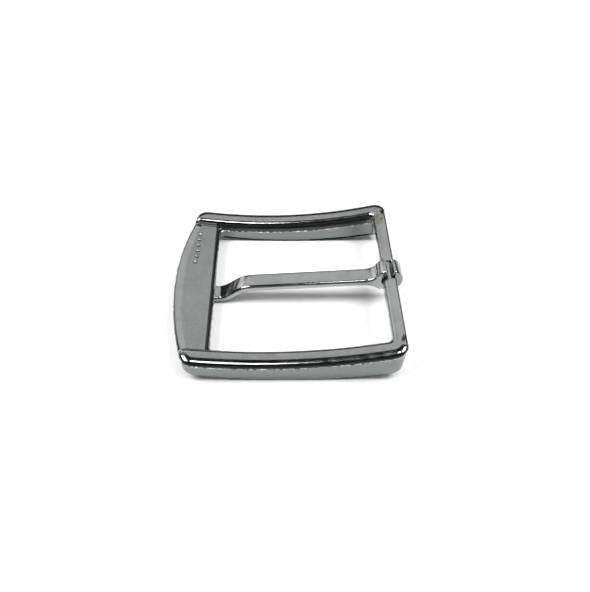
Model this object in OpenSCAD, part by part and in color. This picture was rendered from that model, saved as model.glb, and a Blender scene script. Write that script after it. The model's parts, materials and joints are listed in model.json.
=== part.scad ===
// Pin buckle for a gentleman's dress belt, lying with its back up.
// X runs along the belt: the wide front bar is at -X and the crossbar at +X.
// Y runs across the strap. Z = 0 is the lowest line of the arched front.

/* [Strap] */
// Width of the leather strap that the buckle takes
strap_w = 35; // [32:0.5:38]
// Play between the strap and each side rail
strap_play = 0.5; // [0.25:0.25:1]

/* [Frame] */
// Overall length, from the front bar's edge to the back of the prong's eye
overall_l = 49; // [47:0.5:54]
// Radius of the arch that the buckle follows along the belt
arch_r = 99; // [85:1:160]
// Thickness of the side rails where the back of the arch is lowest
mid_depth = 5.1; // [4.8:0.05:6]
// How far the back's arch is shifted towards the front bar, which tapers the rails
back_shift = 5.2; // [2:0.5:6]
// Width of a side rail at its widest line
rail_w = 4.5; // [3.6:0.05:5]
// Width of the front bar at its middle
bar_w = 8.4; // [7:0.1:9]
// Radius of the front bar's bowed outer edge, seen from above
bow_r = 70; // [60:1:90]
// Depth of the recess in the front bar's back
recess = 1.4; // [0.8:0.1:1.8]
// Radius of the four outer corners
corner_r = 2.8; // [1.8:0.1:3.2]
// Radius of the window's corners beside the front bar
fillet_r = 1.4; // [0.8:0.1:2]

/* [Rail section] */
// Width that the rounded inner shoulder takes from a rail's back face
inner_shoulder_w = 1.6; // [1:0.1:2]
// Height of the inner shoulder, down to the widest line
inner_shoulder_h = 2.1; // [1.8:0.1:2.4]
// Width that the rounded outer shoulder takes from a rail's back face
outer_shoulder_w = 1.7; // [0.6:0.1:1.8]
// Height of the outer shoulder, down to the widest line
outer_shoulder_h = 0.9; // [0.6:0.1:1.8]
// Bevel along the rails' outer front edges
front_bevel = 0.4; // [0.2:0.1:0.6]

/* [Crossbar] */
// Width of the crossbar along the belt
crossbar_w = 2.7; // [2.6:0.1:3.2]
// Thickness of the crossbar
crossbar_t = 2.9; // [2.8:0.1:3.2]
// Diameter of the round neck that the prong turns on
neck_d = 2.6; // [2.3:0.1:2.8]
// Length of the neck
neck_l = 5; // [4.4:0.2:6]
// Radius of the crossbar's edges
crossbar_edge_r = 0.55; // [0.3:0.05:0.7]

/* [Prong] */
// Width of the prong and of its eye
prong_w = 4; // [3.4:0.1:4.2]
// Thickness of the prong's strip
prong_t = 1.6; // [1.3:0.1:1.7]
// Thickness of the metal around the eye
eye_t = 1.6; // [1.4:0.1:1.8]
// Gap left open at the back of the crimped eye
eye_gap = 1.1; // [0.8:0.1:1.4]
// Depth of the notch under the front bar that the prong's tip rests in
notch = 0.5; // [0.4:0.1:0.7]

/* [Hidden] */
$fn = 96;
eps = 0.5;
// Radial clearance of the eye on the neck
running_fit = 0.08;
shoulder_steps = 5;
bow_steps = 40;
corner_steps = 6;
bend_steps = 6;
root_steps = 5;
reach = 60;
arch_facets = 240;
edge_facets = 32;
// Angles that the rails' arch covers, towards the front bar and towards the crossbar
front_reach = 15;
rear_reach = 20;
// Rough shapes run this far past the surface that trims them
below = 4;
// The window's round corners run this far into the rails, so that they meet at an angle
fillet_bite = 0.05;
// Strip in side view: slope, offset below the hinge, and the step down to the front
strip_slope = 4.2;
strip_drop = 0.55;
knee_x = -9.8;
knee_r = 6;
toe_x = -14.3;
tip_t = 1.4;
tip_play = 0.14;
tip_to_edge = 1.8;
notch_side_play = 0.4;
root_l = 3.2;
root_swell = 2;

half_l = overall_l / 2;
window_half_w = strap_w / 2 + strap_play;
half_w = window_half_w + rail_w;
bar_inner_x = -half_l + bar_w;
// The front bar and the crossbar are rooted this far inside the rails
bar_half_w = window_half_w + rail_w / 2;
eye_r = neck_d / 2 + running_fit + eye_t;
hinge_x = half_l - eye_r;
frame_end_x = hinge_x + crossbar_w / 2;
back_axis_z = mid_depth + arch_r;
hinge_radius = arch_r + crossbar_t / 2;
hinge_tilt = asin((hinge_x + back_shift) / hinge_radius);
hinge_z = back_axis_z - hinge_radius * cos(hinge_tilt);
bow_centre_x = bow_r - half_l;
tip_end_x = tip_to_edge - half_l;
swell_x = hinge_x - eye_r - root_l / 2;

// Points of an arc about centre c from angle a0 to a1
function arc(c, r, a0, a1, steps) = [
    for (i = [0:steps])
        let (a = a0 + (a1 - a0) * i / steps)
            [c[0] + r * cos(a), c[1] + r * sin(a)]
];

// Quarter ellipse as [radius, lateral], from the back face to the widest line
function shoulder(flat_y, side_y, high) = [
    for (i = [0:shoulder_steps])
        let (a = 90 * i / shoulder_steps)
            [arch_r + high * (1 - cos(a)), flat_y + (side_y - flat_y) * sin(a)]
];

// Turns a profile of [radius, lateral] about the axis of the back's arch
module along_back_arch(from_deg, to_deg) {
    translate([-back_shift, 0, back_axis_z])
        rotate([90, 0, 0])
            rotate([0, 0, from_deg - 90])
                rotate_extrude(angle = to_deg - from_deg, $fn = arch_facets)
                    children();
}

// Round bar across the belt, centred on Y = 0
module across(x, z, r, length) {
    translate([x, 0, z])
        rotate([90, 0, 0])
            cylinder(r = r, h = length, center = true, $fn = arch_facets);
}

// The buckle's outline from above: bowed front edge, straight sides, round corners
module outline() {
    corner_y = half_w - corner_r;
    bow_corner_x = bow_centre_x - sqrt(pow(bow_r - corner_r, 2) - corner_y * corner_y);
    bow_end = asin(corner_y / (bow_r - corner_r));
    end_x = frame_end_x - corner_r;
    polygon(concat(
        arc([end_x, -corner_y], corner_r, -90, 0, corner_steps),
        arc([end_x, corner_y], corner_r, 0, 90, corner_steps),
        arc([bow_corner_x, corner_y], corner_r, 90, 180 - bow_end, corner_steps),
        arc([bow_centre_x, 0], bow_r, 180 - bow_end, 180 + bow_end, bow_steps),
        arc([bow_corner_x, -corner_y], corner_r, 180 + bow_end, 270, corner_steps)
    ));
}

// Section of one side rail, below the back's arch
module rail_section(side) {
    deep = arch_r + mid_depth + below;
    inner = shoulder(window_half_w + inner_shoulder_w, window_half_w, inner_shoulder_h);
    outer = shoulder(half_w - outer_shoulder_w, half_w, outer_shoulder_h);
    section = concat(
        [for (i = [shoulder_steps:-1:0]) inner[i]],
        outer,
        [[deep, half_w], [deep, window_half_w]]
    );
    // Turning the section about the arch's axis flips Y
    polygon([for (p = section) [p[0], -side * p[1]]]);
}

// One side rail from the bowed edge to the crossbar's end
module side_rail(side) {
    difference() {
        along_back_arch(-front_reach, rear_reach) rail_section(side);
        translate([0, side * half_w, arch_r])
            rotate([90, 0, 0])
                front_edge_bevel();
    }
}

// Ring with a triangular section that takes the bevel off a rail's outer front edge
module front_edge_bevel() {
    rotate_extrude($fn = arch_facets)
        polygon([
            [arch_r - front_bevel, 0],
            [arch_r + eps, front_bevel + eps],
            [arch_r + eps, -front_bevel - eps]
        ]);
}

// Wide front bar with its sunk back, and the fillets beside the window
module front_bar() {
    fillet_y = window_half_w - fillet_r + fillet_bite;
    difference() {
        linear_extrude(height = 2 * mid_depth, convexity = 4)
            difference() {
                translate([-half_l - eps, -bar_half_w])
                    square([bar_w + fillet_r + eps, 2 * bar_half_w]);
                translate([bar_inner_x, -fillet_y])
                    square([2 * fillet_r, 2 * fillet_y]);
                for (side = [-1, 1])
                    translate([bar_inner_x + fillet_r, side * fillet_y])
                        circle(r = fillet_r);
            }
        across(-back_shift, back_axis_z, arch_r + recess, 3 * half_w);
        prong_notch();
    }
}

// Shallow groove across the front bar's front that seats the prong's tip
module prong_notch() {
    width = prong_w + 2 * notch_side_play;
    translate([-half_l - eps, -width / 2, 0])
        intersection() {
            cube([bar_w + 2 * eps, width, mid_depth]);
            translate([half_l + eps, width / 2, arch_r])
                rotate([90, 0, 0])
                    difference() {
                        cylinder(r = arch_r + below, h = 2 * width, center = true, $fn = arch_facets);
                        cylinder(r = arch_r - notch, h = 3 * width, center = true, $fn = arch_facets);
                    }
        }
}

// Rectangle with round corners, centred
module round_rect(w, h, r) {
    square([w - 2 * r, h], center = true);
    square([w, h - 2 * r], center = true);
    for (x = [-1, 1])
        for (y = [-1, 1])
            translate([x * (w / 2 - r), y * (h / 2 - r)])
                circle(r = r, $fn = edge_facets);
}

// Crossbar in two halves with the round neck between them
module crossbar() {
    half_bar = bar_half_w - neck_l / 2;
    for (side = [-1, 1])
        translate([hinge_x, side * (neck_l / 2 + half_bar / 2), hinge_z])
            rotate([0, -hinge_tilt, 0])
                rotate([90, 0, 0])
                    linear_extrude(height = half_bar, center = true)
                        round_rect(crossbar_w, crossbar_t, crossbar_edge_r);
    across(hinge_x, hinge_z, neck_d / 2, neck_l + crossbar_w);
}

module frame() {
    color([0.62, 0.63, 0.62])
        intersection() {
            union() {
                side_rail(1);
                side_rail(-1);
                front_bar();
                crossbar();
            }
            linear_extrude(height = reach) outline();
            across(0, arch_r, arch_r, 3 * half_w);
        }
}

function unit(v) = v / norm(v);
function cross_z(u, v) = u[0] * v[1] - u[1] * v[0];

// Arc of radius r that rounds the corner b of the path a, b, c
function bend(a, b, c, r) =
    let (u = unit(a - b))
    let (w = unit(c - b))
    let (half = acos(u * w) / 2)
    let (centre = b + unit(u + w) * r / sin(half))
    let (start = b + u * r / tan(half) - centre)
    let (from = atan2(start[1], start[0]))
    let (turn = (180 - 2 * half) * sign(cross_z(b - a, c - b)))
    arc(centre, r, from, from + turn, bend_steps);

// Height of the shank's middle line at x
function shank_z(x) = hinge_z - strip_drop + (x - hinge_x) * tan(strip_slope);

// Height of the tip's middle line at x, just under the notch's roof
function tip_z(x) = arch_r - sqrt(pow(arch_r - notch + tip_play + tip_t / 2, 2) - x * x);

// Thickness of the strip at x: it swells into the eye and thins towards the tip
function strip_t(x) =
    x > swell_x ? prong_t + root_swell * pow((x - swell_x) / root_l, 2) :
    x > toe_x ? prong_t : tip_t;

// Middle line of the strip in side view, from inside the eye to the tip
function middle_line() =
    let (root = [swell_x + root_l, shank_z(swell_x + root_l)])
    let (knee = [knee_x, shank_z(knee_x)])
    let (toe = [toe_x, tip_z(toe_x)])
    let (end = [tip_end_x, tip_z(tip_end_x)])
    concat(
        [for (i = [0:root_steps])
            let (x = swell_x + root_l * (1 - i / root_steps))
                [x, shank_z(x)]],
        bend(root, knee, toe, knee_r),
        bend(knee, toe, end, knee_r),
        [end]
    );

// Side view of the strip: its middle line given half its thickness on each side
module strip_profile() {
    line = middle_line();
    last = len(line) - 1;
    across_line = [
        for (i = [0:last])
            let (run = line[min(i + 1, last)] - line[max(i - 1, 0)])
                unit([-run[1], run[0]]) * strip_t(line[i][0]) / 2
    ];
    polygon(concat(
        [for (i = [0:last]) line[i] + across_line[i]],
        [for (i = [last:-1:0]) line[i] - across_line[i]]
    ));
}

// Strip with its rounded tip
module strip() {
    intersection() {
        rotate([90, 0, 0])
            linear_extrude(height = prong_w, center = true)
                strip_profile();
        linear_extrude(height = reach)
            union() {
                translate([tip_end_x + prong_w / 2, -prong_w])
                    square([overall_l, 2 * prong_w]);
                translate([tip_end_x + prong_w / 2, 0])
                    circle(r = prong_w / 2);
            }
    }
}

module prong() {
    color([0.6, 0.61, 0.6])
        difference() {
            union() {
                across(hinge_x, hinge_z, eye_r, prong_w);
                strip();
            }
            across(hinge_x, hinge_z, neck_d / 2 + running_fit, 2 * prong_w);
            translate([hinge_x - eye_gap / 2, -prong_w, hinge_z])
                cube([eye_gap, 2 * prong_w, 2 * eye_r]);
        }
}

frame();
prong();
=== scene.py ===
"""Pin buckle for a gentleman's dress belt: surfaces, plating and studio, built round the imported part."""

import json
import math

import bmesh
import bpy
import numpy as np
from mathutils import Matrix, Vector


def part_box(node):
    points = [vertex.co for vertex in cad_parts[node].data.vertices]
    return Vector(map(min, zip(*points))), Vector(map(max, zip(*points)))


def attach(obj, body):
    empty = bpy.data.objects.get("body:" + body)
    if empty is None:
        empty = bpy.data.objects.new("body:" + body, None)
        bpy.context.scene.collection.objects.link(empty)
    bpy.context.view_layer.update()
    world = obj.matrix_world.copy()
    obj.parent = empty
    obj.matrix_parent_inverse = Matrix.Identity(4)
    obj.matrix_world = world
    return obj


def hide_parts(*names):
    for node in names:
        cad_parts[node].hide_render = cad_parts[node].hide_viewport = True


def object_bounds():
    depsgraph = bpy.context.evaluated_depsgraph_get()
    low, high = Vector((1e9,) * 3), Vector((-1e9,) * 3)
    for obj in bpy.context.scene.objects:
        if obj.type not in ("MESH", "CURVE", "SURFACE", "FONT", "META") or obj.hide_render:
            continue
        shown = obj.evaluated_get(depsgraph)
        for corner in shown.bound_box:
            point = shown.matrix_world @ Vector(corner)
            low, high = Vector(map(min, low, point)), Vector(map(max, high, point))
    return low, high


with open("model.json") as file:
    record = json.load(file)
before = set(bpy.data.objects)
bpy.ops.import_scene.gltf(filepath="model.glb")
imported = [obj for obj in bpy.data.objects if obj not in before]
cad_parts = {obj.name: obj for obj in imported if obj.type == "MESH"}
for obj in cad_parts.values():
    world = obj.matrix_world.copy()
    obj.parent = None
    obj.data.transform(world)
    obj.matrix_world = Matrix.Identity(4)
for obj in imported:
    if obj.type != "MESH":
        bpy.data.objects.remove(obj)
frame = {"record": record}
cad_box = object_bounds()

MM = 0.001  # the shapes below are worked out in millimetres

# ---------------------------------------------------------------- sizes of the buckle, in mm
frame_lo, frame_hi = (np.array(corner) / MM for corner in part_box("frame"))
prong_lo, prong_hi = (np.array(corner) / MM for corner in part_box("prong"))
hinge = np.array(frame["record"]["behaviour"]["joints"][0]["pos_m"]) / MM

ARCH_R = 99.0  # radius of both faces of the arch
BACK_SHIFT = 5.2  # the back's arch is centred this far towards the front bar
BACK_AXIS_Z = 104.1  # height of that centre
HALF_W = frame_hi[1]
BAR_EDGE_X = frame_lo[0]
END_X = frame_hi[0]
RAIL_W = 4.5
WINDOW_Y = HALF_W - RAIL_W
BAR_W = 8.4
BAR_INNER_X = BAR_EDGE_X + BAR_W
BOW_R = 70.0
BOW_X = BAR_EDGE_X + BOW_R
CORNER_R = 2.8
FILLET_R = 1.4
RECESS = 1.4  # depth of the front bar's sunk back
INNER_SHOULDER = 1.6  # width of the round inner shoulders
INNER_H = 2.1  # and their height
OUTER_SHOULDER = 1.7  # width of the round outer shoulders
OUTER_H = 0.9  # and their height
CROSSBAR_W = 2.7
CROSSBAR_T = 2.9
CROSSBAR_X = hinge[0] - CROSSBAR_W / 2
CROSSBAR_EDGE = 0.55
CROSSBAR_OUT = 0.8  # round along the crossbar's outer edge
BAR_EDGE = 0.5  # width of the round along the front bar's bowed edge
BAR_DEPTH = 2.0  # depth at which that round meets the wall
NECK_R = 1.3
NECK_HALF = 2.5
NECK_CHAMFER = 0.1  # small step in at the neck's two ends
DIMPLES = 6
DIMPLE_FROM = (-20.3, 15.0)
DIMPLE_TO = (-20.7, 6.0)
DIMPLE_R = 0.5
DIMPLE_DEPTH = 0.16
DIMPLE_FLAT = 0.25  # share of its radius that is flat
DIMPLE_RIM = 0.02  # metal thrown up round a dimple
DIMPLE_RIM_AT = 1.15  # where, and how wide, in radii
DIMPLE_RIM_W = 0.2
NOTCH = 0.5  # depth of the notch for the prong's tip
NOTCH_HALF = prong_hi[1] + 0.4
DRAFT = 0.14  # the walls lean in by this much below the parting line
FOOT_R = 0.45  # round along the front edges
LIP_X = BAR_INNER_X - 0.75  # where the front bar's back starts to round over to the window
FLASH = 0.12  # how far the trimmed parting line stands proud
FLASH_ROWS = ((0.015, 0.75), (0.07, 1.0), (0.15, 0.75), (0.24, 0.05))  # depth, share of FLASH
FLASH_GRAIN = 2  # columns from one random height of the flash to the next
FLASH_SWAY = 0.1  # how far the parting line wanders up and down
SWAY_GRAIN = 5  # columns from one turn of it to the next
OUTER_FLASH_LEAST = 0.25  # least share of FLASH that is left standing
WINDOW_FLASH_LEAST = 0.2
OUTER_SEEDS = (11, 12, 41)  # for the flash, its sway and its runs of painted highlight
WINDOW_SEEDS = (13, 14, 43)
RUN_OUT = 0.9  # length over which the rails' shoulders fade into the crossbar
FLAT = 0.02  # a depth this close to a level counts as on it
STEEP_FROM = 0.25  # depth at which the painted dark reflection on an inner shoulder starts
STEEP_TO = 0.65  # depth at which that painted dark reflection is darkest
STEEP_RINGS = (0.5, 0.72)  # the same for an outer shoulder, as shares of its rings
PAINTED_GLINT_BAND = (0.1, 0.7)  # random values between which a run of painted highlight fades in
PAINTED_GLINT_RUN = 5  # usual length of a run of painted highlight on the parting line, in columns


def back_z(x, depth):
    """Height of the back's arch at x, sunk radially by depth: the circle's centre less its half chord."""
    return BACK_AXIS_Z - np.sqrt((ARCH_R + depth) ** 2 - (x + BACK_SHIFT) ** 2)


def front_z(x, rise=0.0):
    """Height of the arched front at x, raised radially by rise."""
    return ARCH_R - np.sqrt((ARCH_R - rise) ** 2 - x**2)


def rounded(t):
    """Share of a shoulder's width at depth share t, on a quarter ellipse."""
    return np.sqrt(np.clip(t * (2 - t), 0, 1))


def turned(n):
    """n depth shares from 0 to 1 at even turns of a quarter circle."""
    return 1 - np.cos(np.linspace(0, np.pi / 2, n))


def steps(a, b, n):
    """n points from just after a to b."""
    return a + (b - a) * np.arange(1, n + 1) / n


def ease(a, b, x):
    """0 before a, 1 after b, and a smooth cubic between."""
    t = np.clip((x - a) / (b - a), 0, 1)
    return t * t * (3 - 2 * t)


def ragged(count, seed, grain):
    """Random values from 0 to 1 at every grain-th place, joined by straight lines."""
    draw = np.random.default_rng(seed).random(count // grain + 3)
    return np.interp(np.arange(count) / grain, np.arange(len(draw)), draw)


# ---------------------------------------------------------------- mesh helpers
WELD = 2e-7  # metres
CASTING_CREASE = 38  # degrees
PRONG_CREASE = 50


def make_mesh(name, grids, crease, shades=()):
    """One welded mesh from grids of points (rows, columns, 3) in mm; a grid may leave cells out."""
    points = []
    faces = []
    at = 0
    tones = {key: [] for key in shades}
    for grid in grids:
        p = grid["p"]
        rows, cols = p.shape[:2]
        index = at + np.arange(rows * cols).reshape(rows, cols)
        cell = np.stack([index[:-1, :-1], index[:-1, 1:], index[1:, 1:], index[1:, :-1]], -1)
        keep = grid.get("keep")
        cell = cell.reshape(-1, 4) if keep is None else cell[keep]
        points.append(p.reshape(-1, 3))
        faces.append(cell)
        for key in tones:
            tones[key].append(np.broadcast_to(grid.get(key, 0.0), (rows, cols)).ravel())
        at += rows * cols
    points = np.concatenate(points) * MM
    faces = np.concatenate(faces)
    mesh = bpy.data.meshes.new(name)
    mesh.from_pydata(points.tolist(), [], faces.tolist())
    for key, values in tones.items():
        layer = mesh.attributes.new(key, "FLOAT", "POINT")
        layer.data.foreach_set("value", np.concatenate(values).astype(np.float32))
    return finish_mesh(name, mesh, crease)


def finish_mesh(name, mesh, crease):
    """Welds the seams, turns all faces outwards and keeps edges sharper than crease degrees crisp."""
    shape = bmesh.new()
    shape.from_mesh(mesh)
    bmesh.ops.delete(shape, geom=[v for v in shape.verts if not v.link_faces], context="VERTS")
    bmesh.ops.remove_doubles(shape, verts=shape.verts, dist=WELD)
    bmesh.ops.dissolve_degenerate(shape, edges=shape.edges, dist=WELD / 2)
    bmesh.ops.recalc_face_normals(shape, faces=shape.faces)
    shape.to_mesh(mesh)
    shape.free()
    mesh.shade_smooth()
    mesh.set_sharp_from_angle(angle=math.radians(crease))
    obj = bpy.data.objects.new(name, mesh)
    bpy.context.scene.collection.objects.link(obj)
    return obj


# ---------------------------------------------------------------- the cast frame
CORNER_ROWS = 10
UPPER_ROWS = 11  # down an inner shoulder to the sunk back's level
LOWER_ROWS = 5  # and on to the window
HIDDEN_ROWS = 10
FILLET_ROWS = 7
RUN_ROWS = 85
STEP = 0.001  # distance between the two rows that make the neck's sharp end
NECK_EDGE = 0.14  # the last full section's distance from the neck
NOTCH_EDGE = 0.05  # width of the notch's sloping side
MIDDLE_ROWS = (1.9, 1.5, 1.0, 0.5, 0)  # distances from the middle


def row_values():
    """Rows of the grid from the near side to the middle; the far side mirrors them. "corner" and
    "hidden" are shares of the way, "t" the shoulder's depth shares, "fillet_turn" angles round the
    window's corner and "run" distances from the middle."""
    floor_turn = math.acos(1 - RECESS / INNER_H)
    t_upper = 1 - np.cos(steps(0, floor_turn, UPPER_ROWS))
    t_lower = 1 - np.cos(steps(floor_turn, np.pi / 2, LOWER_ROWS))
    run = steps(WINDOW_Y - FILLET_R, NECK_HALF + NECK_EDGE, RUN_ROWS)
    neck_rows = [NECK_HALF, NECK_HALF - STEP]
    notch_rows = [NOTCH_HALF, NOTCH_HALF - NOTCH_EDGE]
    return {
        "corner": np.linspace(0, 1, CORNER_ROWS),
        "t": np.concatenate([[0], t_upper, t_lower]),
        "hidden": steps(0, 1, HIDDEN_ROWS),
        "fillet_turn": np.radians(steps(135, 180, FILLET_ROWS)),
        "run": np.concatenate([run, neck_rows, notch_rows, MIDDLE_ROWS]),
    }


ROWS = row_values()
N_CORNER = len(ROWS["corner"])
N_SHOULDER = len(ROWS["t"])
ROW_WINDOW = N_CORNER + N_SHOULDER - 1  # the row along the window's near edge
N_HIDDEN = len(ROWS["hidden"])
N_HALF = N_CORNER + N_SHOULDER + N_HIDDEN + len(ROWS["fillet_turn"]) + len(ROWS["run"])
N_ROWS = 2 * N_HALF - 1

BAR_COLS = 52  # from the bowed edge to the lip
BAR_SPLIT = 14  # the one of these on the corner's centre line
LIP_COLS = 8
FILLET_COLS = 8
RAIL_COLS = 180
EDGE_COLS = 7
CROSS_COLS = 8
COL_WINDOW = BAR_COLS + LIP_COLS
COL_CROSSBAR = COL_WINDOW + FILLET_COLS + RAIL_COLS
N_COLS = COL_CROSSBAR + EDGE_COLS + CROSS_COLS + 1


def left_arc():
    """Centre of the left corner's arc and the tilt in degrees at which it meets the bow: the arc
    touches the straight side and lies inside the bow's circle, so its centre is a corner radius
    in from both."""
    centre_y = HALF_W - CORNER_R
    centre_x = BOW_X - math.sqrt((BOW_R - CORNER_R) ** 2 - centre_y**2)
    tilt = math.degrees(math.asin(centre_y / (BOW_R - CORNER_R)))
    return centre_x, centre_y, tilt


CORNER_X, CORNER_Y, BOW_TILT = left_arc()
FILLET_CX = BAR_INNER_X + FILLET_R  # centre of the window's corner arc
FILLET_CY = WINDOW_Y - FILLET_R
LIP_LEAST = 0.1  # least width of the lip
HIDDEN_DROP = 0.06  # the rows that end at the window are packed into this width
ROW_GAP = 0.004  # least distance between the rows round the window's corner
CROSS_GAP = 0.02  # distance from the rail to the crossbar's first section


def arc_points(cx, cy, degrees):
    """Points and outward normals of a corner arc."""
    a = np.radians(degrees)
    n = np.stack([np.cos(a), np.sin(a)], -1)
    return np.array([cx, cy]) + CORNER_R * n, n


def column_places(out_by, in_by):
    """Plan positions of the columns: shares along the front bar (1 at the corner's centre line, 2 at
    the lip), angles round the window's corner, and x along the rails and across the crossbar."""
    cross_x = CROSSBAR_X + in_by
    bar = np.concatenate(
        [np.linspace(0, 1, BAR_SPLIT + 1), 1 + steps(0, 1, BAR_COLS - BAR_SPLIT)]
    )
    turn = np.radians(np.linspace(135, 90, FILLET_COLS + 1))
    rail_x = steps(FILLET_CX, cross_x, RAIL_COLS)
    edge = 1 - np.cos(np.radians(np.linspace(0, 90, EDGE_COLS + 1)))
    cross_x = np.concatenate([
        cross_x + CROSSBAR_EDGE * edge,
        steps(cross_x + CROSSBAR_EDGE, END_X - out_by, CROSS_COLS),
    ])
    return bar, turn, rail_x, cross_x


def row_distances(out_by, in_by, turn):
    """Distance from the middle of every grid place: corner, shoulder, the rows that end at the
    window's near edge, the window's corner and the run to the middle."""
    fillet_r = FILLET_R + in_by
    fillet_rows = ROWS["fillet_turn"]
    hidden = ROWS["hidden"][:, None]
    far_out = HALF_W - out_by
    base = N_CORNER + N_SHOULDER
    start = base + N_HIDDEN
    after = start + len(fillet_rows)
    edge_line = np.full(N_COLS, WINDOW_Y + in_by)  # the window's near edge at every column
    edge_line[COL_WINDOW : COL_WINDOW + FILLET_COLS + 1] = FILLET_CY + fillet_r * np.sin(turn)
    edge_line[:COL_WINDOW] = edge_line[COL_WINDOW]
    gap = np.zeros((N_HALF, N_COLS))
    gap[:N_CORNER] = far_out + (CORNER_Y - far_out) * ROWS["corner"][:, None]
    gap[N_CORNER:base] = shoulder_distances(edge_line)
    if in_by == 0:
        gap[base:start] = edge_line - HIDDEN_DROP * hidden
    else:
        gap[base:start] = edge_line + (WINDOW_Y - edge_line) * np.clip(hidden * 2, 0, 1)
    fillet_y = FILLET_CY + fillet_r * np.sin(fillet_rows)
    lowest = gap[start - 1, 0] - ROW_GAP * np.arange(1, len(fillet_rows) + 1)
    gap[start:after] = np.minimum(fillet_y, lowest)[:, None]
    gap[after:] = ROWS["run"][:, None]
    on_right = np.linspace(gap[base - 1, -1], ROWS["run"][0], N_HIDDEN + len(fillet_rows) + 2)
    if in_by == 0:
        gap[base:after, COL_CROSSBAR:] = on_right[1:-1, None]
    else:
        on_right = np.linspace(WINDOW_Y - CROSS_GAP, ROWS["run"][0], len(fillet_rows) + 1)
        gap[start:after, COL_CROSSBAR:] = on_right[:-1, None]
    return gap


def shoulder_distances(edge_line):
    """Distance from the middle down an inner shoulder: its quarter ellipse as far as the sunk back's
    level, then the rest of it stretched to reach the window's edge."""
    t = ROWS["t"]
    level = RECESS / INNER_H
    flat_y = WINDOW_Y + INNER_SHOULDER
    step_y = flat_y - INNER_SHOULDER * rounded(level)
    share = (rounded(t) - rounded(level)) / (1 - rounded(level))
    upper = (flat_y - INNER_SHOULDER * rounded(t))[:, None]
    lower = step_y + (edge_line[None, :] - step_y) * share[:, None]
    return np.where((t <= level + 1e-9)[:, None], upper, lower)


def plan(out_by, in_by):
    """Plan positions of the whole grid for the near half, with the outer edge moved in by out_by and
    the window's edge moved into the metal by in_by. Corners are filled by blending their four sides."""
    bar, turn, rail_x, cross_x = column_places(out_by, in_by)
    gap = row_distances(out_by, in_by, turn)
    fillet_r = FILLET_R + in_by
    fillet_x = FILLET_CX + fillet_r * np.cos(turn)
    window_x = BAR_INNER_X - in_by
    lip_x = min(LIP_X, window_x - LIP_LEAST)
    x = np.zeros((N_HALF, N_COLS))
    y = -gap
    left = BOW_X - np.sqrt((BOW_R - out_by) ** 2 - gap[:, 0] ** 2)
    x[:, : BAR_COLS + 1] = np.where(
        bar[None, :] <= 1,
        left[:, None] + (CORNER_X - left[:, None]) * bar[None, :],
        CORNER_X + (lip_x - CORNER_X) * (bar[None, :] - 1),
    )
    fillet_rows = ROWS["fillet_turn"]
    start = N_CORNER + N_SHOULDER + N_HIDDEN
    window_line = np.full(N_HALF, fillet_x[0])
    window_line[start : start + len(fillet_rows)] = FILLET_CX + fillet_r * np.cos(fillet_rows)
    window_line[start + len(fillet_rows) :] = window_x
    lip = steps(0, 1, LIP_COLS)[None, :]
    x[:, BAR_COLS + 1 : COL_WINDOW + 1] = lip_x + (window_line[:, None] - lip_x) * lip
    x[:, COL_WINDOW + 1 : COL_WINDOW + FILLET_COLS + 1] = fillet_x[1:]
    x[:, COL_WINDOW + FILLET_COLS + 1 : COL_CROSSBAR + 1] = rail_x
    x[:, COL_CROSSBAR:] = cross_x
    fill_corner(x, y, slice(0, BAR_SPLIT + 1), left_corner_edges(out_by))
    fill_corner(x, y, slice(COL_CROSSBAR, N_COLS), right_corner_edges(out_by))
    return x, y


def left_corner_edges(out_by):
    """The near left corner: outer row from the arc's middle, and left column from its middle."""
    middle = 270 - (90 - BOW_TILT) / 2
    row, row_n = arc_points(CORNER_X, -CORNER_Y, np.linspace(middle, 270, BAR_SPLIT + 1))
    col, col_n = arc_points(CORNER_X, -CORNER_Y, np.linspace(middle, 180 + BOW_TILT, N_CORNER))
    return row, row_n, col, col_n, out_by, True


def right_corner_edges(out_by):
    """The near right corner: outer row up to the arc's middle, and right column from its middle."""
    count = N_COLS - COL_CROSSBAR
    row, row_n = arc_points(END_X - CORNER_R, -CORNER_Y, np.linspace(270, 315, count))
    col, col_n = arc_points(END_X - CORNER_R, -CORNER_Y, np.linspace(315, 360, N_CORNER))
    return row, row_n, col, col_n, out_by, False


def fill_corner(x, y, cols, edges):
    """Coons patch: the sum of the two rulings between opposite sides less the bilinear one."""
    row, row_n, col, col_n, out_by, on_left = edges
    outer = row - row_n * out_by
    side = col - col_n * out_by
    p = np.stack([x[:N_CORNER, cols], y[:N_CORNER, cols]], -1)
    near_end, far_end = (0, -1) if on_left else (-1, 0)
    inner = p[-1].copy()
    inner[near_end] = side[-1]
    far = outer[far_end] + (inner[far_end] - outer[far_end]) * ROWS["corner"][:, None]
    u = np.linspace(0, 1, p.shape[1])[None, :, None]
    v = ROWS["corner"][:, None, None]
    lo, hi = (side, far) if on_left else (far, side)
    ruled = (1 - v) * outer[None] + v * inner[None] + (1 - u) * lo[:, None] + u * hi[:, None]
    corners = (
        (1 - u) * (1 - v) * outer[0] + u * (1 - v) * outer[-1]
        + (1 - u) * v * inner[0] + u * v * inner[-1]
    )
    p = ruled - corners
    x[:N_CORNER, cols] = p[..., 0]
    y[:N_CORNER, cols] = p[..., 1]


def mirrored(x, y):
    """Adds the far half by turning the sign of Y."""
    return np.concatenate([x, x[-2::-1]]), np.concatenate([y, -y[-2::-1]])


def mirror_rows(a):
    """The same values for the far half."""
    return np.concatenate([a, a[-2::-1]])


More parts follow.
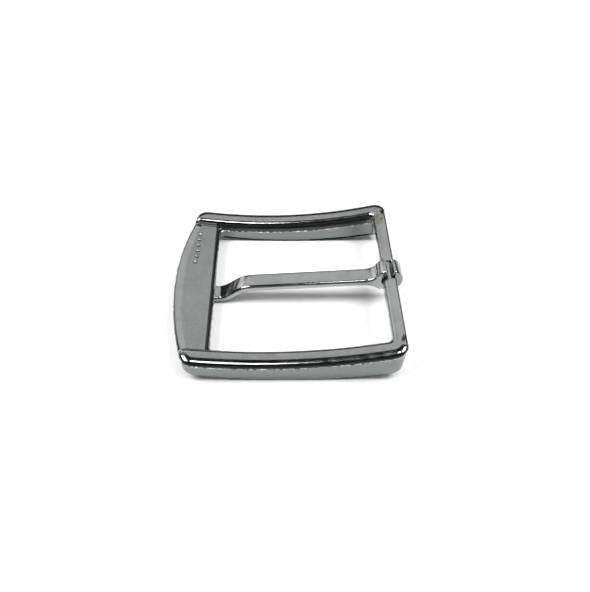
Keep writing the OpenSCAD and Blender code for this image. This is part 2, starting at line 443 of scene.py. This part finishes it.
def top_depth(x):
    """Depth of the top surface below the back's arch: shoulders, sunk bar, lip and crossbar edge."""
    t = np.zeros(N_HALF)
    t[N_CORNER : N_CORNER + N_SHOULDER] = ROWS["t"]
    t[N_CORNER + N_SHOULDER :] = 1
    cols = np.arange(N_COLS)
    shoulder = INNER_H * t[:, None] * np.ones(N_COLS)
    lip = np.clip((cols - BAR_COLS) / LIP_COLS, 0, 1)
    lip = 1 - np.sqrt(1 - lip**2)
    floor = np.minimum(shoulder, RECESS)
    depth = floor + (shoulder - floor) * lip[None, :]
    along = x[N_HALF // 2]
    run_out = ease(CROSSBAR_X - RUN_OUT, CROSSBAR_X, along)
    edge = np.clip((CROSSBAR_X + CROSSBAR_EDGE - along) / CROSSBAR_EDGE, 0, 1)
    edge = CROSSBAR_EDGE * (1 - np.sqrt(1 - edge**2))
    edge = np.where(cols < COL_CROSSBAR, CROSSBAR_EDGE, edge)
    bar_end = edge[None, :] * t[:, None]
    return depth + (bar_end - depth) * run_out[None, :]


def loop_of(first_row, last_row, first_col, last_col):
    """Row and column numbers once round a rectangle of the grid."""
    across = np.arange(first_col, last_col)
    down = np.arange(first_row, last_row)
    rows = np.concatenate([
        np.full(len(across), first_row), down, np.full(len(across), last_row), down[::-1] + 1
    ])
    cols = np.concatenate([
        across, np.full(len(down), last_col), across[::-1] + 1, np.full(len(down), first_col)
    ])
    return np.append(rows, rows[0]), np.append(cols, cols[0])


def under_z(x, rows):
    """Height of the front surface: the arch, with the crossbar's underside and the step up to it."""
    half = np.minimum(rows, N_ROWS - 1 - rows)
    base = N_CORNER + N_SHOULDER
    share = np.zeros(N_HALF)
    share[base : base + N_HIDDEN] = ROWS["hidden"]
    share[base + N_HIDDEN :] = 1
    share = share[half]
    low = front_z(x)
    high = back_z(x, CROSSBAR_T)
    climb = np.clip(share * 2 - 1, 0, 1)
    turn = np.clip(share * 2, 0, 1)
    foot = FOOT_R * (1 - np.sqrt(np.clip(1 - turn**2, 0, 1)))
    return low + foot + (high - low - foot) * climb


def bottom_height(x, y, rows, cols):
    """Height of the underside at each grid place, with the notch that seats the prong's tip."""
    plain = front_z(x)
    in_notch = np.abs(y) < NOTCH_HALF - NOTCH_EDGE / 2
    bar = np.where(in_notch & (cols <= COL_WINDOW), front_z(x, NOTCH), plain)
    return np.where(cols >= COL_CROSSBAR, under_z(x, rows), bar)


END_FADE = (WINDOW_Y - 0.6, WINDOW_Y + 1.6)  # where the crossbar's end turns into the rails'
OUTER_T = turned(14)[1:]  # depth shares of the rings down an outer shoulder
LEAN = (0.33, 0.66)  # shares of the way down a wall
FOOT_TURN = np.radians(np.linspace(0, 90, 6))[:-1]


def rings_in(edge, normal, insets, heights):
    """Rings of points (rings, points, 3), each stepped in from the edge along its normal."""
    flat = edge[None, :, :2] - normal[None] * insets[..., None]
    return np.concatenate([flat, heights[..., None]], -1)


def shoulder_rings(edge, normal, depth0, depth1, width):
    """Rings down an outer shoulder: a quarter ellipse of the given width from depth0 to depth1."""
    insets = OUTER_SHOULDER * (1 - rounded(OUTER_T))[:, None] * np.ones(len(edge))
    x = edge[:, 0] - normal[:, 0] * insets
    over = np.clip(1 - insets / width, 0, 1)
    depth = depth0 + (depth1 - depth0) * (1 - np.sqrt(1 - over**2))
    return rings_in(edge, normal, insets, back_z(x, depth))


def wall_rings(edge, normal, depth, under, flash, lift):
    """Rings below a shoulder: ragged parting line, leaning wall and round foot."""
    top = back_z(edge[:, 0], depth)
    down, share = (np.array(column)[:, None] for column in zip(*FLASH_ROWS))
    squash = np.minimum(1, (top - under) / 2)
    line_z = top - (down + lift * (share > 0.5)) * squash
    lean = np.array(LEAN)[:, None]
    foot_z = under + FOOT_R
    lean_z = line_z[-1] + (foot_z - line_z[-1]) * lean
    turn = FOOT_TURN[:, None]
    plain = np.ones(len(edge))
    insets = np.concatenate([
        -flash * share, DRAFT * lean * plain, (DRAFT + FOOT_R * (1 - np.cos(turn))) * plain
    ])
    heights = np.concatenate([line_z, lean_z, foot_z - FOOT_R * np.sin(turn)])
    return rings_in(edge, normal, insets, heights)


def dimples(x, y):
    """Depth of a row of shallow round punch marks in the sunk back: a smooth bowl about each centre."""
    depth = np.zeros_like(x)
    for share in np.linspace(0, 1, DIMPLES):
        at_x = DIMPLE_FROM[0] + (DIMPLE_TO[0] - DIMPLE_FROM[0]) * share
        at_y = DIMPLE_FROM[1] + (DIMPLE_TO[1] - DIMPLE_FROM[1]) * share
        away = np.hypot(x - at_x, y - at_y) / DIMPLE_R
        depth += DIMPLE_DEPTH * (1 - ease(DIMPLE_FLAT, 1.0, away))
        depth -= DIMPLE_RIM * np.exp(-((away - DIMPLE_RIM_AT) / DIMPLE_RIM_W) ** 2)
    return depth


def cast_frame():
    """The whole casting as one closed skin: back, front, outer wall and window wall."""
    x0, y0 = plan(OUTER_SHOULDER, 0.0)
    depth = mirror_rows(top_depth(x0))
    x0, y0 = mirrored(x0, y0)
    depth = depth + dimples(x0, y0)
    x1, y1 = mirrored(*plan(DRAFT + FOOT_R, DRAFT + FOOT_R))
    rows, cols = np.indices((N_ROWS, N_COLS))
    top = np.stack([x0, y0, back_z(x0, depth)], -1)
    bottom = np.stack([x1, y1, bottom_height(x1, y1, rows, cols)], -1)
    keep = np.ones((N_ROWS - 1, N_COLS - 1), bool)
    keep[ROW_WINDOW : N_ROWS - 1 - ROW_WINDOW, COL_WINDOW:COL_CROSSBAR] = False
    back = {"p": top, "keep": keep}
    back.update(back_tones(depth, cols))
    grids = [
        back,
        {"p": bottom, "keep": keep},
        outer_wall(top, bottom, depth),
        window_wall(top, bottom),
    ]
    for grid in grids:
        turn_neck(grid["p"])
    # the wall tone and the shoulders' dark tone are painted shade, the parting line's bright tone a
    # painted highlight; satin and cast are the plating's own finish
    tones = ("satin", "cast", "wall", "steep", "painted_glint")
    return make_mesh("frame_casting", grids, CASTING_CREASE, tones)


def back_tones(depth, cols):
    """Satin on the flats, cast grain on the sunk back and a painted dark reflection down the inner
    shoulders.
    """
    half = depth[:N_HALF]
    sunk_half = (half > RECESS - FLAT) & (cols[:N_HALF] < BAR_COLS)
    return {
        "satin": mirror_rows((half < FLAT) | sunk_half) * 1.0,
        "cast": ((depth > RECESS - FLAT) & (cols < BAR_COLS)) * 1.0,
        # painted dark reflection: the inner shoulders' colour blackened towards their lower part
        "steep": ease(STEEP_FROM, STEEP_TO, depth) * (cols >= BAR_COLS),
    }


def wall_tones(count, shoulder, columns, seed):
    """Tones of a wall of count rings: painted dark reflection down the lower part of a shoulder of so many
    rings, broken runs of painted highlight along the flash's crest, and painted shade on the wall from the
    flash's last ring down."""
    ring = np.arange(count)[:, None]
    # painted dark reflection down the lower rings of an outer shoulder
    steep = ease(*STEEP_RINGS, ring / max(shoulder, 1)) * (ring <= shoulder) * (shoulder > 0)
    crest = (ring > shoulder) & (ring <= shoulder + len(FLASH_ROWS) - 1)
    broken = np.random.default_rng(seed).normal(size=columns)
    broken = np.convolve(broken, np.ones(PAINTED_GLINT_RUN) / PAINTED_GLINT_RUN**0.5, "same")
    return {
        # the wall tone marks where painted shade darkens the wall, from the flash's last ring down
        "wall": (ring >= shoulder + len(FLASH_ROWS)) * 1.0,
        "steep": steep,
        # painted highlight in broken runs along the flash's crest
        "painted_glint": crest * ease(*PAINTED_GLINT_BAND, broken)[None],
    }


def turn_neck(p):
    """Rounds the middle of the crossbar to the neck: each section is pushed out or in to one radius."""
    centre = np.array([hinge[0], hinge[2]])
    across = np.abs(p[..., 1])
    on_bar = (across < NECK_HALF + NECK_EDGE / 2) & (p[..., 0] > CROSSBAR_X - 1)
    arm = np.stack([p[..., 0], p[..., 2]], -1) - centre
    size = np.linalg.norm(arm, axis=-1)
    goal = np.where(across < NECK_HALF - STEP / 2, NECK_R, size - NECK_CHAMFER)
    scale = np.where(on_bar, goal / np.maximum(size, 1e-6), 1.0)
    p[..., 0] = centre[0] + arm[..., 0] * scale
    p[..., 2] = centre[1] + arm[..., 1] * scale


def by_place(plain, on_bow, on_crossbar, bow_share, crossbar_share):
    """A size that differs along the bowed edge and along the crossbar's end."""
    return plain + (on_bow - plain) * bow_share + (on_crossbar - plain) * crossbar_share


def outer_wall(top, bottom, depth):
    """Wall round the outer outline, with its shoulder, as a grid with tones. The shoulder's size
    changes along the front bar's bowed edge and along the crossbar's end."""
    r, c = loop_of(0, N_ROWS - 1, 0, N_COLS - 1)
    loop = top[r, c]
    normal = outline_normals(r, c, loop)
    edge = loop[:, :2] + normal * OUTER_SHOULDER
    out = np.abs(loop[:, 1])
    on_bar = (1 - ease(WINDOW_Y, WINDOW_Y + INNER_SHOULDER, out)) * (c == 0)
    on_end = (1 - ease(*END_FADE, out)) * (c == N_COLS - 1)
    width = by_place(OUTER_SHOULDER, BAR_EDGE, CROSSBAR_OUT, on_bar, on_end)
    low = by_place(OUTER_H, BAR_DEPTH, CROSSBAR_OUT, on_bar, on_end)
    flash_seed, sway_seed, painted_glint_seed = OUTER_SEEDS
    flash = FLASH * (OUTER_FLASH_LEAST + ragged(len(r), flash_seed, FLASH_GRAIN)) * (1 - on_end)
    lift = FLASH_SWAY * (ragged(len(r), sway_seed, SWAY_GRAIN) - 0.5)
    shoulder = shoulder_rings(edge, normal, depth[r, c], low, width)
    below = wall_rings(edge, normal, low, bottom[r, c, 2], flash, lift)
    p = np.concatenate([loop[None], shoulder, below, bottom[r, c][None]])
    return {"p": p, **wall_tones(len(p), len(OUTER_T), len(r), painted_glint_seed)}


def outline_normals(r, c, loop):
    """Outward normals of the core's outer edge: its corners share the outline's arc centres."""
    side = np.where(loop[:, 1] < 0, -1.0, 1.0)
    p = loop[:, :2]
    n = np.zeros_like(p)
    bow_c = np.array([BOW_X, 0])
    left = c == 0
    right = c == N_COLS - 1
    near = (r == 0) | (r == N_ROWS - 1)
    corner_row = np.minimum(r, N_ROWS - 1 - r) < N_CORNER
    n[left] = p[left] - bow_c
    n[right] = (1, 0)
    n[near] = np.stack([0 * side, side], -1)[near]
    on_left_arc = ((c <= BAR_SPLIT) & near) | (left & corner_row)
    on_right_arc = ((c >= COL_CROSSBAR) & near) | (right & corner_row)
    left_c = np.stack([np.full(len(p), CORNER_X), side * CORNER_Y], -1)
    right_c = np.stack([np.full(len(p), END_X - CORNER_R), side * CORNER_Y], -1)
    n[on_left_arc] = (p - left_c)[on_left_arc]
    n[on_right_arc] = (p - right_c)[on_right_arc]
    return n / np.linalg.norm(n, axis=1, keepdims=True)


def window_wall(top, bottom):
    """Wall round the window, below the inner shoulders, as a grid with tones."""
    r, c = loop_of(ROW_WINDOW, N_ROWS - 1 - ROW_WINDOW, COL_WINDOW, COL_CROSSBAR)
    loop = top[r, c]
    normal = window_normals(r, c, loop)
    near_cross = ease(CROSSBAR_X - RUN_OUT, CROSSBAR_X, loop[:, 0])
    low = INNER_H + (CROSSBAR_EDGE - INNER_H) * near_cross
    flash_seed, sway_seed, painted_glint_seed = WINDOW_SEEDS
    flash = FLASH * (WINDOW_FLASH_LEAST + ragged(len(r), flash_seed, FLASH_GRAIN)) * (1 - near_cross)
    lift = FLASH_SWAY * (ragged(len(r), sway_seed, SWAY_GRAIN) - 0.5)
    below = wall_rings(loop, normal, low, bottom[r, c, 2], flash, lift)
    p = np.concatenate([loop[None], below, bottom[r, c][None]])
    return {"p": p, **wall_tones(len(p), 0, len(r), painted_glint_seed)}


def window_normals(r, c, loop):
    """Normals of the window's edge, pointing into the opening."""
    p = loop[:, :2]
    side = np.where(p[:, 1] < 0, 1.0, -1.0)
    n = np.zeros_like(p)
    near = (r == ROW_WINDOW) | (r == N_ROWS - 1 - ROW_WINDOW)
    n[near] = np.stack([0 * side, side], -1)[near]
    n[c == COL_CROSSBAR] = (-1, 0)
    n[c == COL_WINDOW] = (1, 0)
    centre = np.stack([np.full(len(p), FILLET_CX), -side * FILLET_CY], -1)
    arm = centre - p
    on_fillet = (p[:, 0] < FILLET_CX + 1e-6) & (np.abs(p[:, 1]) > FILLET_CY)
    n[on_fillet] = arm[on_fillet]
    return n / np.linalg.norm(n, axis=1, keepdims=True)


# ---------------------------------------------------------------- the prong
PRONG_HALF = prong_hi[1]
PRONG_T = 1.6
PRONG_EDGE = 0.56  # round along the strip's edges
TIP_X = prong_lo[0]
TIP_T = 1.4
TIP_PLAY = 0.14  # gap between the tip and the notch's roof
TOE_X = -14.3  # the two bends of the step down to the tip
KNEE_X = -9.8
BEND_REACH = 2.6  # how far along the strip a bend is rounded
STRIP_SLOPE = 4.2  # degrees
STRIP_DROP = 0.55  # the shank's line passes this far under the hinge
EYE_R = 2.98
BORE_R = NECK_R + 0.08
RING_R = (EYE_R + BORE_R) / 2  # middle of the eye's metal
EYE_GAP = 1.1
EYE_EDGE = 0.36
EYE_END = 0.38  # round of the eye's two ends
ROOT_X = hinge[0] - 1.75  # the strip ends here, inside the eye
ROOT_L = 3.5
ROOT_SWELL = 3.3
ROOT_MOST = 4.6
SWELL_X = ROOT_X - ROOT_L
SIDEWAYS = np.array([0.0, 1.0, 0.0])
TIP_SECTIONS = 16
STRIP_SECTIONS = 220
EYE_SECTIONS = 150
ARC_POINTS = 7  # on each round edge of a section


def shank_z(x):
    """Height of the shank's middle line: a straight slope below the hinge."""
    return hinge[2] - STRIP_DROP + (x - hinge[0]) * math.tan(math.radians(STRIP_SLOPE))


def tip_z(x):
    """Height of the tip's middle line: half a thickness under the notch's roof."""
    return ARCH_R - np.sqrt((ARCH_R - NOTCH + TIP_PLAY + TIP_T / 2) ** 2 - x**2)


def strip_line(x):
    """Middle line of the strip before its bends are rounded: tip arc, straight step and shank."""
    toe = tip_z(TOE_X)
    knee = shank_z(KNEE_X)
    step = toe + (knee - toe) * (x - TOE_X) / (KNEE_X - TOE_X)
    return np.where(x < TOE_X, tip_z(x), np.where(x < KNEE_X, step, shank_z(x)))


def smooth_line(x):
    """The middle line averaged over a window on each side, weighted like a tent, which rounds its
    bends. The window closes up towards the tip."""
    offsets = np.linspace(-1, 1, 41)
    weight = 1 - np.abs(offsets)
    spread = BEND_REACH * ease(TIP_X, TIP_X + 4, x)[:, None] * offsets
    return (strip_line(x[:, None] + spread) * weight).sum(1) / weight.sum()


def round_section(half_w, half_t, radius):
    """Rectangle with round corners, as (width, thickness) pairs: corner arcs pushed out to the box."""
    turn = np.linspace(0, 90, ARC_POINTS)
    parts = []
    for quarter, (sw, st) in enumerate(((1, 1), (-1, 1), (-1, -1), (1, -1))):
        a = np.radians(turn + 90 * quarter)
        w = sw * (half_w - radius) + radius * np.cos(a)[None, :]
        t = st * (half_t - radius) + radius * np.sin(a)[None, :]
        parts.append(np.stack(np.broadcast_arrays(w, t), -1))
    return np.concatenate(parts, 1)


def tube_grid(sections):
    """Closes a run of sections (along, around, 3) with a seam and both ends drawn to a point."""
    ends = [np.broadcast_to(sections[i].mean(0), sections[i].shape) for i in (0, -1)]
    run = np.concatenate([ends[0][None], sections, ends[1][None]])
    return np.concatenate([run, run[:, :1]], 1)


def strip_thickness(x):
    """Thinner at the tip, and growing as a square towards the eye, up to a limit."""
    thick = TIP_T + (PRONG_T - TIP_T) * ease(TOE_X - 1, TOE_X + 1, x)
    thick = thick + ROOT_SWELL * (np.clip(x - SWELL_X, 0, None) / ROOT_L) ** 2
    return np.minimum(thick, ROOT_MOST)


def strip_half_width(x):
    """Half a circle at the tip, then constant, and a hair less inside the eye."""
    to_round = PRONG_HALF - np.clip(x - TIP_X, 0, PRONG_HALF)
    half_w = np.sqrt(np.clip(PRONG_HALF**2 - to_round**2, 1e-4, None))
    eye_x = hinge[0] - EYE_R
    return half_w - 0.005 * ease(eye_x - 1, eye_x, x)


def strip_sections():
    """Round-edged sections set square to the middle line, from the tip to inside the eye."""
    tip_turn = np.radians(np.linspace(4, 90, TIP_SECTIONS))
    nose = TIP_X + PRONG_HALF * (1 - np.cos(tip_turn))
    x = np.concatenate([nose, steps(TIP_X + PRONG_HALF, ROOT_X, STRIP_SECTIONS)])
    z = smooth_line(x)
    along = np.stack([np.ones_like(x), 0 * x, np.gradient(z, x)], -1)
    along /= np.linalg.norm(along, axis=1, keepdims=True)
    up = np.stack([-along[:, 2], 0 * x, along[:, 0]], -1)
    half_w = strip_half_width(x)
    edge = np.minimum(PRONG_EDGE, 0.9 * half_w) * (0.75 + 0.25 * ease(TIP_X, TIP_X + 3, x))
    section = round_section(half_w[:, None], strip_thickness(x)[:, None] / 2, edge[:, None])
    centre = np.stack([x, 0 * x, z], -1)[:, None]
    return centre + section[..., :1] * SIDEWAYS + section[..., 1:] * up[:, None]


def eye_sections():
    """C-shaped ring round the neck: round-edged sections carried round the hinge. Near its two ends
    they shrink along a quarter circle."""
    gap = math.degrees(math.asin(EYE_GAP / 2 / RING_R))
    turn = np.linspace(90 + gap, 450 - gap, EYE_SECTIONS)
    from_end = np.radians(np.minimum(turn - turn[0], turn[-1] - turn)) * RING_R
    short = np.clip(EYE_END - from_end, 0, None)
    shrink = EYE_END - np.sqrt(np.clip(EYE_END**2 - short**2, 0, None))
    half_w = (PRONG_HALF - shrink)[:, None]
    half_t = ((EYE_R - BORE_R) / 2 - shrink)[:, None]
    section = round_section(half_w, half_t, EYE_EDGE)
    a = np.radians(turn)
    out = np.stack([np.cos(a), 0 * a, np.sin(a)], -1)
    centre = hinge + out * RING_R
    return centre[:, None] + section[..., :1] * SIDEWAYS + section[..., 1:] * out[:, None]


def bent_prong():
    """The prong: the strip and its crimped eye, each a closed skin, run into one another."""
    grids = [{"p": tube_grid(strip_sections())}, {"p": tube_grid(eye_sections())}]
    return make_mesh("prong_strip", grids, PRONG_CREASE)


# ---------------------------------------------------------------- plating, with painted shade and highlights on the casting
class Finish:
    """Small helper that adds shader nodes and joins them."""

    def __init__(self, name):
        self.material = bpy.data.materials.new(name)
        self.material.use_nodes = True
        self.tree = self.material.node_tree
        self.shader = self.tree.nodes["Principled BSDF"]
        coords = self.tree.nodes.new("ShaderNodeTexCoord")
        self.place = coords.outputs["Object"]

    def node(self, kind, inputs=None, **settings):
        """New node; an input is a value or another node's socket."""
        made = self.tree.nodes.new(kind)
        for key, value in settings.items():
            setattr(made, key, value)
        for key, value in (inputs or {}).items():
            if isinstance(value, bpy.types.NodeSocket):
                self.tree.links.new(value, made.inputs[key])
            else:
                made.inputs[key].default_value = value
        return made

    def noise(self, scale, detail, rough=0.55, place=None):
        """Fractal noise, about 0.5 on average; scale is in grains per metre."""
        made = self.node(
            "ShaderNodeTexNoise",
            {"Vector": place or self.place, "Scale": scale, "Detail": detail, "Roughness": rough},
        )
        return made.outputs["Fac"]

    def spread(self, value, lo, hi, to_lo, to_hi):
        """Carries lo..hi over to to_lo..to_hi and holds it outside."""
        made = self.node(
            "ShaderNodeMapRange",
            {"Value": value, "From Min": lo, "From Max": hi, "To Min": to_lo, "To Max": to_hi},
        )
        return made.outputs["Result"]

    def plus(self, a, b):
        made = self.node("ShaderNodeMath", {0: a, 1: b}, operation="ADD")
        return made.outputs["Value"]

    def times(self, a, b):
        """Product, held between 0 and 1."""
        made = self.node("ShaderNodeMath", {0: a, 1: b}, operation="MULTIPLY", use_clamp=True)
        return made.outputs["Value"]

    def mix(self, share, a, b):
        """Colour a, with the given share of colour b."""
        made = self.node("ShaderNodeMix", data_type="RGBA")
        for socket, value in ((made.inputs[0], share), (made.inputs[6], a), (made.inputs[7], b)):
            if isinstance(value, bpy.types.NodeSocket):
                self.tree.links.new(value, socket)
            else:
                socket.default_value = value
        return made.outputs[2]

    def stretched(self, scale):
        """Object coordinates times a scale for each axis."""
        made = self.node("ShaderNodeMapping", {"Vector": self.place, "Scale": scale})
        return made.outputs["Vector"]

    def tone(self, name):
        """One of the mesh's own tones."""
        return self.node("ShaderNodeAttribute", attribute_name=name).outputs["Fac"]

    def near(self, centre_mm, inner_mm, outer_mm):
        """1 within inner_mm of a point, falling to 0 at outer_mm."""
        centre = tuple(c * MM for c in centre_mm)
        away = self.node("ShaderNodeVectorMath", {0: self.place, 1: centre}, operation="DISTANCE")
        return self.spread(away.outputs["Value"], outer_mm * MM, inner_mm * MM, 0.0, 1.0)

    def bump(self, height, strength, distance, under=None):
        """Relief of the given depth in metres, over an earlier one if given."""
        inputs = {"Height": height, "Strength": strength, "Distance": distance}
        if under is not None:
            inputs["Normal"] = under
        return self.node("ShaderNodeBump", inputs).outputs["Normal"]

    def set(self, key, value):
        """Sets or feeds an input of the surface shader."""
        if isinstance(value, bpy.types.NodeSocket):
            self.tree.links.new(value, self.shader.inputs[key])
        else:
            self.shader.inputs[key].default_value = value


PLATE = (0.315, 0.327, 0.318, 1)
PLATE_DULL = (0.262, 0.275, 0.266, 1)
# painted shade: the walls' plating colour darkened so their reflection of the pale floor reads mid-grey
WALL_PAINTED_SHADE = (0.155, 0.172, 0.164, 1)
CAST_DARK = (0.24, 0.252, 0.244, 1)
# painted dark reflection: near-black colour for the lower part of the shoulders
STEEP_PAINTED_SHADE = (0.028, 0.032, 0.03, 1)
# painted highlight: near-white colour for broken runs along the parting line's crest
PAINTED_GLINT = (0.95, 0.97, 0.96, 1)
TARNISH = (0.24, 0.19, 0.085, 1)
FLOOR_PALE = (0.86, 0.86, 0.86, 1)
FLOOR_PALER = (0.9, 0.9, 0.9, 1)

# grains per metre of each kind of noise
CLOUDS = 260
POLISH = 900
MOTTLE = 1700
SPOTS = 1500
WAVES = 180
GRAIN = 2600
PITS = 1300
SCRATCH_SCALE = (5200, 140, 900)  # long across the belt

# depth of each kind of relief, in metres
WAVE_DEPTH = 0.00004
GRAIN_DEPTH = 0.00001
PIT_DEPTH = 0.00003
SCRATCH_DEPTH = 0.000003


def toned_with_painted_light(f, colour, rough):
    """Colour and roughness changed by the casting's tones: painted shade on the walls, painted dark
    reflection down the shoulders, painted highlights in broken runs on the parting line, the mottled sunk
    back and the satin flats."""
    cast = f.tone("cast")
    # painted shade on the walls
    colour = f.mix(f.times(f.tone("wall"), 0.9), colour, WALL_PAINTED_SHADE)
    # painted dark reflection down the shoulders
    colour = f.mix(f.times(f.tone("steep"), 0.92), colour, STEEP_PAINTED_SHADE)
    # painted highlights on the parting line
    colour = f.mix(f.tone("painted_glint"), colour, PAINTED_GLINT)
    mottle = f.spread(f.noise(MOTTLE, 5, 0.7), 0.45, 0.65, 0.0, 0.55)
    colour = f.mix(f.times(mottle, cast), colour, CAST_DARK)
    rough = f.plus(rough, f.times(f.tone("satin"), 0.07))
    rough = f.plus(rough, f.times(cast, 0.1))
    return colour, rough


def stained_at(f, colour, rough, stains):
    """Colour and roughness with spotty stains, each given by its centre, inner and outer radius."""
    for centre, inner, outer in stains:
        spots = f.spread(f.noise(SPOTS, 5), 0.42, 0.6, 0.1, 1)
        patch = f.times(f.near(centre, inner, outer), spots)
        colour = f.mix(patch, colour, TARNISH)
        rough = f.plus(rough, f.times(patch, 0.25))
    return colour, rough


def relief(f, scratch, with_tones):
    """Fine waviness, grain, pits in the sunk back and scratches, one over the other."""
    wave = f.bump(f.noise(WAVES, 2), 0.35, WAVE_DEPTH)
    normal = f.bump(f.noise(GRAIN, 3), 0.16, GRAIN_DEPTH, wave)
    if with_tones:
        pits = f.times(f.noise(PITS, 4), f.tone("cast"))
        normal = f.bump(pits, 0.35, PIT_DEPTH, normal)
    return f.bump(scratch, 0.12, SCRATCH_DEPTH, normal)


def plating(name, with_tones, stains):
    """Worn bright plating: cloudy colour and polish, hairline scratches, stains at the given places and,
    on a mesh that has them, the casting's tones, which paint shade on the walls and shoulders and
    highlights on the parting line."""
    f = Finish(name)
    clouds = f.spread(f.noise(CLOUDS, 4), 0.35, 0.7, 0.0, 0.8)
    colour = f.mix(clouds, PLATE, PLATE_DULL)
    rough = f.spread(f.noise(POLISH, 5), 0.3, 0.75, 0.10, 0.2)
    if with_tones:
        colour, rough = toned_with_painted_light(f, colour, rough)
    scratch = f.noise(1.0, 2, 0.4, f.stretched(SCRATCH_SCALE))
    scratch = f.spread(scratch, 0.68, 0.74, 0.0, 1.0)
    rough = f.plus(rough, f.times(scratch, 0.05))
    colour, rough = stained_at(f, colour, rough, stains)
    f.set("Metallic", 1.0)
    f.set("Base Color", colour)
    f.set("Roughness", rough)
    f.set("Normal", relief(f, scratch, with_tones))
    return f.material


def floor_paint():
    """Pale matt table with the faintest unevenness."""
    f = Finish("pale_table")
    f.set("Base Color", f.mix(f.noise(9, 2), FLOOR_PALE, FLOOR_PALER))
    f.set("Roughness", 0.9)
    f.set("Specular IOR Level", 0.1)
    return f.material


# ---------------------------------------------------------------- studio
ROOM = 0.012  # brightness of the room away from the soft boxes
COVE = 0.85  # brightness of the pale wall round the table
COVE_RISE = (0.11, 0.2)  # sine of the height at which the cove starts and ends fading
AIR = (0.98, 1.0, 0.985, 1)  # colour of the light from both
FLOOR_HALF = 3.0  # metres
FLOOR_GAP = 0.00002
SOFT_BOXES = (
    # name, place in metres, width and height, power in watts
    ("far_panel", (0.0, 0.70, 0.78), (1.9, 0.42), 2.9),
    ("left_box", (-0.34, -0.02, 0.52), (0.34, 0.3), 3.5),
    ("right_box", (0.34, -0.02, 0.52), (0.34, 0.3), 3.5),
    ("near_panel", (0.0, -0.95, 0.55), (1.5, 0.3), 0.8),
    ("far_left", (-0.72, 0.72, 0.44), (0.5, 0.3), 0.75),
    ("top_streak", (0.02, -0.07, 0.58), (0.1, 0.07), 0.42),
)
PITCH, YAW, ROLL = (math.radians(a) for a in (48.576, 2.475, 1.819))
CAMERA_AWAY = 0.1286  # metres
CAMERA_TARGET = Vector((0.001333, -0.004358, 0.0051))
CAMERA_LENS = 36.678  # mm, for a sensor of the next value's width
CAMERA_SENSOR = 36
CAMERA_NEAREST = 0.005


def soft_box(name, place, size, power):
    """Rectangular soft light turned to the buckle."""
    data = bpy.data.lights.new(name, "AREA")
    data.shape = "RECTANGLE"
    data.size, data.size_y = size
    data.energy = power
    obj = bpy.data.objects.new(name, data)
    obj.location = place
    obj.rotation_euler = (-Vector(place)).to_track_quat("-Z", "Y").to_euler()
    bpy.context.scene.collection.objects.link(obj)


def table():
    """Large pale floor just under the buckle."""
    z = cad_box[0][2] - FLOOR_GAP
    signs = ((-1, -1), (1, -1), (1, 1), (-1, 1))
    corners = [(sx * FLOOR_HALF, sy * FLOOR_HALF, z) for sx, sy in signs]
    mesh = bpy.data.meshes.new("table")
    mesh.from_pydata(corners, [], [(0, 1, 2, 3)])
    obj = bpy.data.objects.new("table", mesh)
    obj.data.materials.append(floor_paint())
    bpy.context.scene.collection.objects.link(obj)


def surroundings():
    """Dim room round the soft boxes, with a pale cove low down all round."""
    world = bpy.data.worlds.new("studio")
    world.use_nodes = True
    tree = world.node_tree
    back = tree.nodes["Background"]
    back.inputs["Color"].default_value = AIR
    coords = tree.nodes.new("ShaderNodeTexCoord")
    parts = tree.nodes.new("ShaderNodeSeparateXYZ")
    rise = tree.nodes.new("ShaderNodeMapRange")
    rise.interpolation_type = "SMOOTHSTEP"
    low, high = COVE_RISE
    for key, value in (("From Min", low), ("From Max", high), ("To Min", COVE), ("To Max", ROOM)):
        rise.inputs[key].default_value = value
    tree.links.new(coords.outputs["Generated"], parts.inputs[0])
    tree.links.new(parts.outputs["Z"], rise.inputs["Value"])
    tree.links.new(rise.outputs["Result"], back.inputs["Strength"])
    bpy.context.scene.world = world


def camera():
    """Looks down across the belt from the near side, with a slight roll."""
    flat = math.cos(PITCH)
    forward = Vector((math.sin(YAW) * flat, math.cos(YAW) * flat, -math.sin(PITCH)))
    level = Vector((math.cos(YAW), -math.sin(YAW), 0))
    upright = level.cross(forward)
    right = level * math.cos(ROLL) + upright * math.sin(ROLL)
    up = upright * math.cos(ROLL) - level * math.sin(ROLL)
    place = CAMERA_TARGET - forward * CAMERA_AWAY
    data = bpy.data.cameras.new("viewer")
    data.sensor_width = CAMERA_SENSOR
    data.lens = CAMERA_LENS
    data.clip_start = CAMERA_NEAREST
    obj = bpy.data.objects.new("viewer", data)
    turn = [[right[i], up[i], -forward[i], place[i]] for i in range(3)]
    obj.matrix_world = Matrix(turn + [[0, 0, 0, 1]])
    bpy.context.scene.collection.objects.link(obj)
    bpy.context.scene.camera = obj


# ---------------------------------------------------------------- assembly
FRAME_STAINS = (
    # centre, inner and outer radius, in mm
    ((hinge[0] - 0.6, 16.5, 8.4), 0.8, 2.2),
    ((CROSSBAR_X, 17.8, 6.6), 0.6, 2.0),
    ((CROSSBAR_X + 0.2, 3.2, 7.8), 0.2, 1.1),
)
PRONG_STAINS = (((hinge[0] - 2.0, -1.2, 5.6), 0.3, 1.2),)

camera()
casting = cast_frame()
casting.data.materials.append(plating("frame_plating_with_painted_light", True, FRAME_STAINS))
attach(casting, "frame")
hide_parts("frame")

prong = bent_prong()
prong.data.materials.append(plating("prong_plating", False, PRONG_STAINS))
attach(prong, "prong")
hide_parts("prong")

table()
surroundings()
for box in SOFT_BOXES:
    soft_box(*box)
bpy.context.scene.view_settings.view_transform = "Standard"
